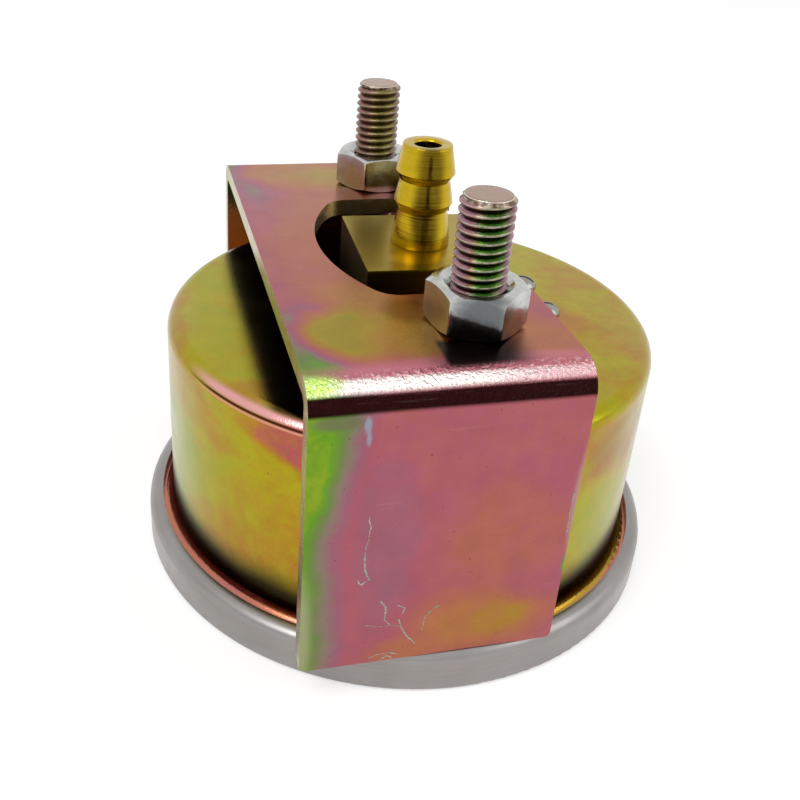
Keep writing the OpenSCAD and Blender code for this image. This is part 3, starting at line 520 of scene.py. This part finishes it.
FINISH = {
    "stainless": satin_stainless(),
    "can": yellow_zinc("yellow_passivated_drawn_can", can_ground, CAN_MARKS, CAN_TINTS_AND_SHEEN, can_trim,
                       roughness=0.20, lit_levels=(25.4, 26.5, 0.89, 0.88), unrest=0.024),
    "strip": yellow_zinc("yellow_passivated_bent_strip", strip_ground, STRIP_MARKS, STRIP_TINTS_AND_PAINTED_LIGHT, strip_trim,
                         roughness=0.27, lit_levels=(33.4, 34.7, 0.90, 0.90), unrest=0.034),
    "thread_near": zinc_thread("yellow_passivated_thread_near", "#9a707a", [
        ("#365c1c", (-0.2, -2.4, 42), (2.6, 1.9, 9), 1.0),
        ("#7a4c34", (-1.6, -2.0, 41), (0.5, 0.8, 5), 0.6)], crest_highlight="#b2a496", root_shade="#1e180c"),
    "thread_far": zinc_thread("yellow_passivated_thread_far", "#86685f", [
        ("#746c3c", (0.3, -2.4, 42.5), (2.4, 1.9, 9), 1.0),
        ("#8a5e5a", (-2.4, -0.6, 42), (0.9, 1.6, 7), 0.8)], crest_highlight="#8e7e66", root_shade="#4a3c26"),
    "zinc": bright_zinc(),
    "glass": clear_glass(),
    "rubber": coat("moulded_rubber", "#17171a", "#26262a", roughness=0.7, size=0.5, depth=0.01),
    "black": coat("matt_black_enamel", "#101012", "#1c1c1e", roughness=0.5, size=0.6, depth=0.006),
    "white": coat("matt_white_enamel", "#ecece6", "#f2f2ee", roughness=0.45, size=1.2, depth=0.004),
    "ink": coat("black_dial_print", "#0c0c0d", "#151516", roughness=0.4, size=0.4, depth=0.002),
    "red": coat("orange_red_enamel", "#d8401c", "#cc3714", roughness=0.35, size=0.8, depth=0.004),
    "barb": turned_brass("turned_brass_barb", "#bca01a", "#947a0c", pitch=0.14, tints=[
        ("#4c3a06", (0.1, -2.9, 40), (2.0, 2.4, 15), 0.9),
        ("#2c1c04", (-0.4, -2.4, 38.6), (1.6, 1.6, 3), 0.7),
        ("#6a4c18", (0.4, 0, 43.9), (1.9, 1.9, 1.6), 1.5)]),
    "bush": turned_brass("turned_brass_bush", "#c8a648", "#a88632", pitch=0.15),
    "block": sawn_brass(),
    "sheet": plain_metal("rolled_brass_sheet", "#c4a452", "#ad8c3e", roughness=0.3, grain=0.25,
                         stretch=(1.0, 0.08, 1.0)),
    "rod": plain_metal("ground_steel_rod", "#c2c2c0", "#a6a6a6", roughness=0.2, grain=0.2),
    "spring": plain_metal("rolled_spring_bronze", "#b87f4a", "#a06a3a", roughness=0.22, grain=0.3),
    "scratch": bare_scratch(),
}
DRESS = {
    "stainless": ["bezel_ring"], "can": ["case_can"], "strip": ["mounting_bracket"],
    "thread_near": ["mounting_studs"], "zinc": ["nut_near", "nut_far", "case_screws"], "glass": ["lens"],
    "rubber": ["lens_gasket"], "black": ["spacer_ring"], "white": ["dial_plate"], "red": ["pointer"],
    "barb": ["hose_barb"], "bush": ["pointer_boss", "hairspring_collet"], "block": ["socket_block"],
    "sheet": ["dial_posts", "hairspring_stud", "sector_gear", "connecting_link", "tube_tip",
              "movement_front_plate", "movement_back_plate", "movement_pillars", "frame_posts"],
    "rod": ["dial_screws", "pinion_spindle", "sector_arbor", "link_pin", "tip_pin", "movement_screws",
            "frame_screws"],
    "spring": ["hairspring", "bourdon_tube"],
}
for finish, names in DRESS.items():
    for name in names:
        data = nodes[name].data
        data.materials.clear()
        data.materials.append(FINISH[finish])

# Edges that pressing, milling or turning left round: width of the rounding in millimetres, and the
# angle in degrees from which an edge is rounded
ROUNDED_FROM = 35
ROUNDED = {"mounting_bracket": 0.14, "nut_near": 0.12, "nut_far": 0.12, "socket_block": 0.12,
           "case_screws": 0.06, "hose_barb": 0.06}
for name, width in ROUNDED.items():
    seam = nodes[name].modifiers.new("seam", "WELD")
    seam.merge_threshold = 0.002 * MM
    edge = nodes[name].modifiers.new("edge", "BEVEL")
    edge.width = width * MM
    edge.segments = 2
    edge.limit_method = "ANGLE"
    edge.angle_limit = math.radians(ROUNDED_FROM)
    shine = nodes[name].modifiers.new("shine", "WEIGHTED_NORMAL")
    shine.keep_sharp = False


def piece_from(name, made, finish, body, smooth=40):
    """Turn a built mesh into a piece that rides on a body; edges sharper than smooth degrees stay sharp."""
    data = bpy.data.meshes.new(name)
    bmesh.ops.recalc_face_normals(made, faces=made.faces)
    made.to_mesh(data)
    made.free()
    data.materials.append(FINISH[finish])
    for face in data.polygons:
        face.use_smooth = True
    data.set_sharp_from_angle(angle=math.radians(smooth))
    piece = bpy.data.objects.new(name, data)
    bpy.context.scene.collection.objects.link(piece)
    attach(piece, body)
    return piece


# Studs with their rolled thread. Its profile: rise in millimetres and share of the full depth
THREAD = [(0.0, 0.0), (0.06, 0.02), (0.16, 0.40), (0.31, 0.90), (0.36, 1.0), (0.48, 1.0), (0.53, 0.90),
          (0.68, 0.40)]
STEPS = 56
CAP_BORDER = 0.35


def threaded_stud(name, y, turn, finish):
    """M5 stud: rows of faces follow the helix up to the chamfered end; turn is where its thread starts."""
    turns = math.ceil((STUD_TOP - THREAD_FOOT) / STUD_PITCH) + 2
    made = bmesh.new()

    def corner(step, radius, z):
        angle = 2 * math.pi * step / STEPS + turn
        return made.verts.new(mm((radius * math.cos(angle), radius * math.sin(angle), z)))

    def thread_corner(step, row):
        along, share = THREAD[row]
        z = THREAD_FOOT - STUD_PITCH + along + STUD_PITCH * step / STEPS
        z = min(max(z, THREAD_FOOT), STUD_TOP)
        radius = STUD_ROOT + (STUD_CREST - STUD_ROOT) * share
        radius = min(radius, STUD_CREST - STUD_CHAMFER + (STUD_TOP - z))
        if z <= THREAD_FOOT:
            radius = STUD_CREST
        if z >= STUD_TOP:
            radius = STUD_CREST - STUD_CHAMFER
        return corner(step, radius, z)

    grid = [[thread_corner(step, row) for row in range(len(THREAD))] for step in range(turns * STEPS + 1)]
    for step in range(turns * STEPS):
        for row in range(len(THREAD)):
            if row + 1 < len(THREAD):
                above = (grid[step][row + 1], grid[step + 1][row + 1])
            elif step + 1 + STEPS < len(grid):
                above = (grid[step + STEPS][0], grid[step + 1 + STEPS][0])
            else:
                continue
            made.faces.new((grid[step][row], grid[step + 1][row], above[1], above[0]))
    bmesh.ops.remove_doubles(made, verts=made.verts, dist=0.004 * MM)
    bmesh.ops.dissolve_degenerate(made, dist=0.002 * MM, edges=made.edges)
    # The end face, with a row of faces inside its rim
    rim = (STUD_TOP - 0.01) * MM
    ends = [edge for edge in made.edges if edge.is_boundary and edge.verts[0].co.z > rim]
    cap = bmesh.ops.contextual_create(made, geom=ends)["faces"]
    bmesh.ops.inset_region(made, faces=cap, thickness=CAP_BORDER * MM, depth=0.0)
    # Plain shank under the thread and the flat head welded inside the can
    last = None
    for radius, z in ((STUD_CREST, THREAD_FOOT), (STUD_CREST, HEAD_TOP), (HEAD_RADIUS, HEAD_TOP),
                      (HEAD_RADIUS, HEAD_FOOT)):
        ring = [corner(step, radius, z) for step in range(STEPS)]
        if last:
            for i in range(STEPS):
                made.faces.new((last[i], last[(i + 1) % STEPS], ring[(i + 1) % STEPS], ring[i]))
        last = ring
    made.faces.new(last)
    piece = piece_from(name, made, finish, "case", smooth=55)
    piece.location = mm((0, y, 0))
    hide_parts("mounting_studs")


threaded_stud("stud_near", -STUD_Y, 0.6, "thread_near")
threaded_stud("stud_far", STUD_Y, 2.3, "thread_far")


# Scratches on the near leg: width, then points in millimetres across and up its outer face
SCRATCHES = [
    (0.13, [(-11.16, 21.93), (-10.97, 20.84), (-11.06, 19.4), (-11.29, 18.33)]),
    (0.20, [(-11.29, 18.1), (-11.24, 16.45), (-10.92, 15.26), (-10.56, 14.74)]),
    (0.20, [(-11.87, 15.03), (-11.47, 14.39), (-11.19, 14.61), (-10.67, 15.03)]),
    (0.20, [(-9.58, 12.31), (-8.94, 11.21), (-9.0, 9.8), (-8.41, 9.08)]),
    (0.10, [(-10.79, 9.5), (-9.61, 9.09), (-8.41, 9.08), (-7.28, 8.72)]),
    (0.16, [(-7.9, 11.43), (-7.15, 11.02), (-7.4, 10.2)]),
    (0.20, [(-7.68, 9.77), (-7.26, 8.46), (-6.62, 7.3), (-5.79, 6.31)]),
    (0.12, [(-5.29, 7.9), (-5.12, 9.53), (-4.4, 10.44), (-3.79, 10.74)]),
    (0.16, [(-10.21, 5.22), (-9.37, 5.6), (-8.14, 5.6), (-7.39, 5.2)]),
    (0.20, [(-9.28, 4.9), (-8.41, 5.25), (-7.89, 4.9)]),
    (0.14, [(7.6, 22.2), (7.5, 20.9), (7.55, 19.4), (7.6, 17.5)]),
]
SCRATCH_STEP = 0.12
BURR_EDGE = 0.012
BURR_RIDGE = 0.03
STRAY_ACROSS = 0.05
STRAY_UP = 0.03


def scratches():
    """Thin raised burrs that follow each scratch with an uneven width."""
    dice = random.Random(7)
    made = bmesh.new()
    for width, points in SCRATCHES:
        path = []
        for (x0, z0), (x1, z1) in zip(points, points[1:]):
            steps = max(2, round(math.dist((x0, z0), (x1, z1)) / SCRATCH_STEP))
            path += [(x0 + (x1 - x0) * k / steps, z0 + (z1 - z0) * k / steps) for k in range(steps)]
        path.append(points[-1])
        path = [(x + dice.uniform(-STRAY_ACROSS, STRAY_ACROSS), z + dice.uniform(-STRAY_UP, STRAY_UP))
                for x, z in path]
        rows = []
        for i, (x, z) in enumerate(path):
            before = path[max(i - 1, 0)]
            after = path[min(i + 1, len(path) - 1)]
            along = Vector((after[0] - before[0], after[1] - before[1])).normalized()
            # Each scratch runs out to a point at both ends
            half = width / 2 * dice.uniform(0.2, 1.0) * (1 if 0 < i < len(path) - 1 else 0.1)
            side = Vector((-along.y, along.x)) * half
            rows.append([made.verts.new(mm((x + side.x * k, NEAR_LEG - (BURR_EDGE if k else BURR_RIDGE),
                                            z + side.y * k))) for k in (-1, 0, 1)])
        for low, high in zip(rows, rows[1:]):
            for k in (0, 1):
                made.faces.new((low[k], low[k + 1], high[k + 1], high[k]))
    piece_from("leg_scratches", made, "scratch", "bracket")


scratches()

# Dial print, read from the front: radii and sizes in millimetres, angles in degrees
SCALE_START = -45
UNIT_TURN = 9
UNITS = 30
LABEL_STEP = 5
LONG_TICK = 19.4
SHORT_TICK = 20.9
ARC_INNER = 22.4
ARC_OUTER = 22.65
ARC_STEP = 2
LABEL_RADIUS = 16.4
LABEL_SIZE = 4.2
LONG_WIDTH = 0.55
SHORT_WIDTH = 0.25
PRINT_FACE = DIAL_FACE - 0.03


def dial_print():
    """Scale arc, ticks and plain numbers."""
    made = bmesh.new()

    def bar(angle, inner, width):
        along = Vector(around(angle, 1, 0))
        across = Vector((-along.y, along.x, 0)) * width / 2
        corners = [along * inner - across, along * ARC_INNER - across, along * ARC_INNER + across,
                   along * inner + across]
        made.faces.new([made.verts.new(mm((c.x, c.y, PRINT_FACE))) for c in corners])

    for unit in range(UNITS + 1):
        angle = SCALE_START + UNIT_TURN * unit
        if unit % LABEL_STEP == 0:
            bar(angle, LONG_TICK, LONG_WIDTH)
        else:
            bar(angle, SHORT_TICK, SHORT_WIDTH)
    for first in range(SCALE_START, SCALE_START + UNIT_TURN * UNITS, ARC_STEP):
        second = first + ARC_STEP
        corners = [around(first, ARC_INNER, PRINT_FACE), around(second, ARC_INNER, PRINT_FACE),
                   around(second, ARC_OUTER, PRINT_FACE), around(first, ARC_OUTER, PRINT_FACE)]
        made.faces.new([made.verts.new(mm(corner)) for corner in corners])
    for number in range(0, UNITS + 1, LABEL_STEP):
        curve = bpy.data.curves.new("number", "FONT")
        curve.body = str(number)
        curve.size = LABEL_SIZE * MM
        curve.align_x = "CENTER"
        curve.align_y = "CENTER"
        text = bpy.data.objects.new("number", curve)
        bpy.context.scene.collection.objects.link(text)
        bpy.context.view_layer.update()
        shape = bpy.data.meshes.new_from_object(text.evaluated_get(bpy.context.evaluated_depsgraph_get()))
        centre = mm(around(SCALE_START + UNIT_TURN * number, LABEL_RADIUS, PRINT_FACE))
        shape.transform(Matrix.Translation(centre) @ Matrix.Rotation(math.pi, 4, "Y"))
        made.from_mesh(shape)
        bpy.data.objects.remove(text)
    piece_from("dial_print", made, "ink", "case")


dial_print()


# Floor, light and camera. The floor shines by itself where it is seen, and the world lights matt
# surfaces with less than full strength
FLOOR_REACH = 1.5
FLOOR_GLOW = 0.44
FLOOR_DROP = 0.02
SKY_ON_MATT = 0.6
LAMPS_AIM = Vector((0, 0, 0.02))


def straight_rays(tree):
    """1 for rays that show the background itself or through metal and glass, 0 for the others."""
    rays = add(tree, "LightPath").outputs
    seen = add(tree, "Math", {0: rays["Is Camera Ray"], 1: rays["Is Glossy Ray"]}, operation="MAXIMUM")
    return add(tree, "Math", {0: seen.outputs[0], 1: rays["Is Transmission Ray"]},
               operation="MAXIMUM").outputs[0]


def floor():
    """Pale matt floor that looks white but keeps the gauge's shadow; open from below to show the dial."""
    made = bmesh.new()
    bmesh.ops.create_grid(made, x_segments=1, y_segments=1, size=FLOOR_REACH)
    data = bpy.data.meshes.new("floor")
    made.to_mesh(data)
    made.free()
    piece = bpy.data.objects.new("floor", data)
    bpy.context.scene.collection.objects.link(piece)
    pale = bpy.data.materials.new("pale_floor")
    pale.use_nodes = True
    tree = pale.node_tree
    tree.nodes.remove(tree.nodes["Principled BSDF"])
    matt = add(tree, "BsdfDiffuse", {"Color": "#e6e6e6"})
    shine = meet(tree, straight_rays(tree), FLOOR_GLOW)
    glow = add(tree, "Emission", {"Color": "#ffffff", "Strength": shine})
    both = add(tree, "AddShader", {0: matt.outputs[0], 1: glow.outputs[0]})
    under = add(tree, "NewGeometry").outputs["Backfacing"]
    clear = add(tree, "BsdfTransparent")
    whole = add(tree, "MixShader", {0: under, 1: both.outputs[0], 2: clear.outputs[0]})
    tree.links.new(whole.outputs[0], tree.nodes["Material Output"].inputs["Surface"])
    # Just under the bezel's face, so that the two don't share a plane
    piece.location.z = -FLOOR_DROP * MM
    data.materials.append(pale)


floor()


def lamp(name, place, size, power):
    """Square soft lamp that looks at the gauge."""
    data = bpy.data.lights.new(name, "AREA")
    data.shape = "SQUARE"
    data.size = size
    data.energy = power
    piece = bpy.data.objects.new(name, data)
    piece.location = place
    piece.rotation_euler = (LAMPS_AIM - Vector(place)).to_track_quat("-Z", "Y").to_euler()
    bpy.context.scene.collection.objects.link(piece)


lamp("key", (-0.28, -0.22, 0.46), size=0.30, power=1.0)
lamp("fill", (0.42, -0.26, 0.34), size=0.36, power=0.5)

# White studio
world = bpy.data.worlds.new("studio")
bpy.context.scene.world = world
world.use_nodes = True
sky = world.node_tree
backdrop = sky.nodes["Background"]
backdrop.inputs["Color"].default_value = paint("#ffffff")
level = {"Value": straight_rays(sky), "To Min": SKY_ON_MATT, "To Max": 1.0}
strength = add(sky, "MapRange", level).outputs[0]
sky.links.new(strength, backdrop.inputs["Strength"])

# Camera at the photograph's place: its right, up and back directions and its stand in millimetres
RIGHT = (0.97107, -0.23207, 0.05623)
UP = (0.06156, 0.47086, 0.88006)
BACK = (-0.23071, -0.85114, 0.47153)
STAND = mm((-29.810, -90.187, 74.105))
camera_data = bpy.data.cameras.new("camera")
camera_data.sensor_width = 36
camera_data.lens = 43.708
camera_data.shift_x = 0.0494
camera_data.shift_y = -0.0839
camera_data.clip_start = 0.005
camera = bpy.data.objects.new("camera", camera_data)
camera.matrix_world = Matrix([(RIGHT[i], UP[i], BACK[i], STAND[i]) for i in range(3)] + [(0, 0, 0, 1)])
bpy.context.scene.collection.objects.link(camera)
bpy.context.scene.camera = camera
bpy.context.scene.view_settings.view_transform = "Standard"
